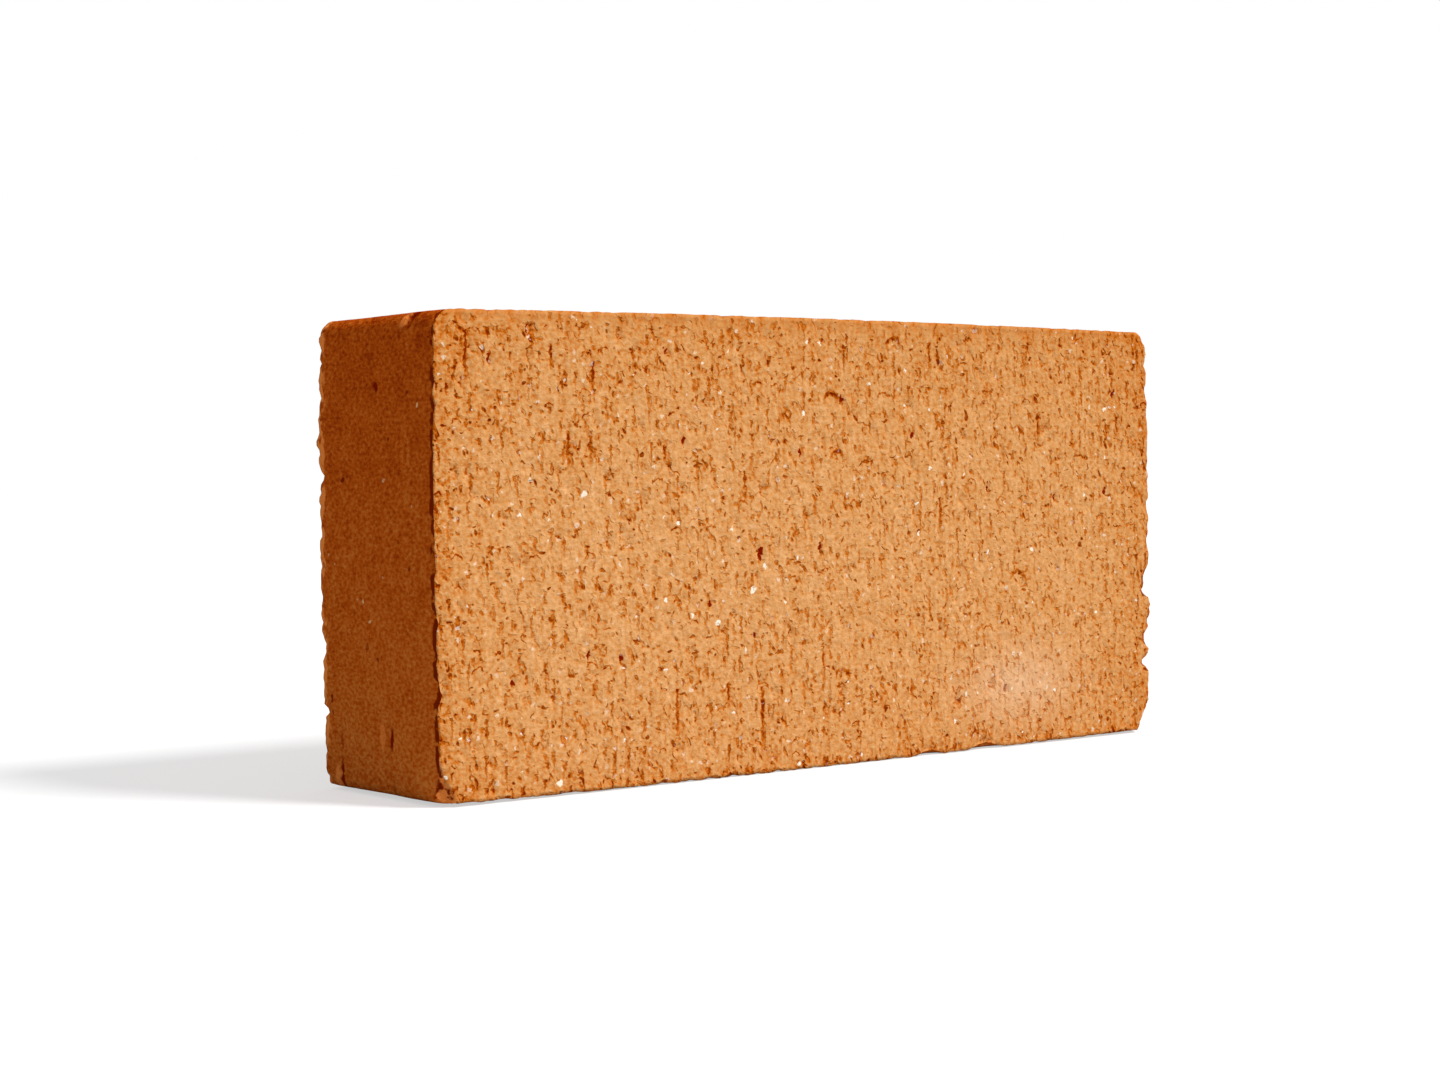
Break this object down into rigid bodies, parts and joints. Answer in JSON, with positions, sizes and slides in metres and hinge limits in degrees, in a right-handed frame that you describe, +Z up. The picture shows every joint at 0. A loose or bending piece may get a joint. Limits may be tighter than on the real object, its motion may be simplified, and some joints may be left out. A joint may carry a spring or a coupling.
{
  "type": "wire-cut clay brick",
  "caption": "Solid fired-clay brick with rough wire-cut large faces, smooth die-skin sides, rounded long corners and chipped arrises, standing on a long narrow face.",
  "frame": {"origin": "middle of the long narrow face that the brick stands on", "axes": "+X along the brick's length, +Y from the front wire cut to the back wire cut, +Z up from the face it stands on"},
  "size_m": [0.25, 0.055, 0.12],
  "materials": {
    "fired_clay": "unglazed, matt, with drag marks, pits and quartz grains"
  },
  "bodies": {
    "root": {"brick": "fired_clay"}
  },
  "joints": []
}
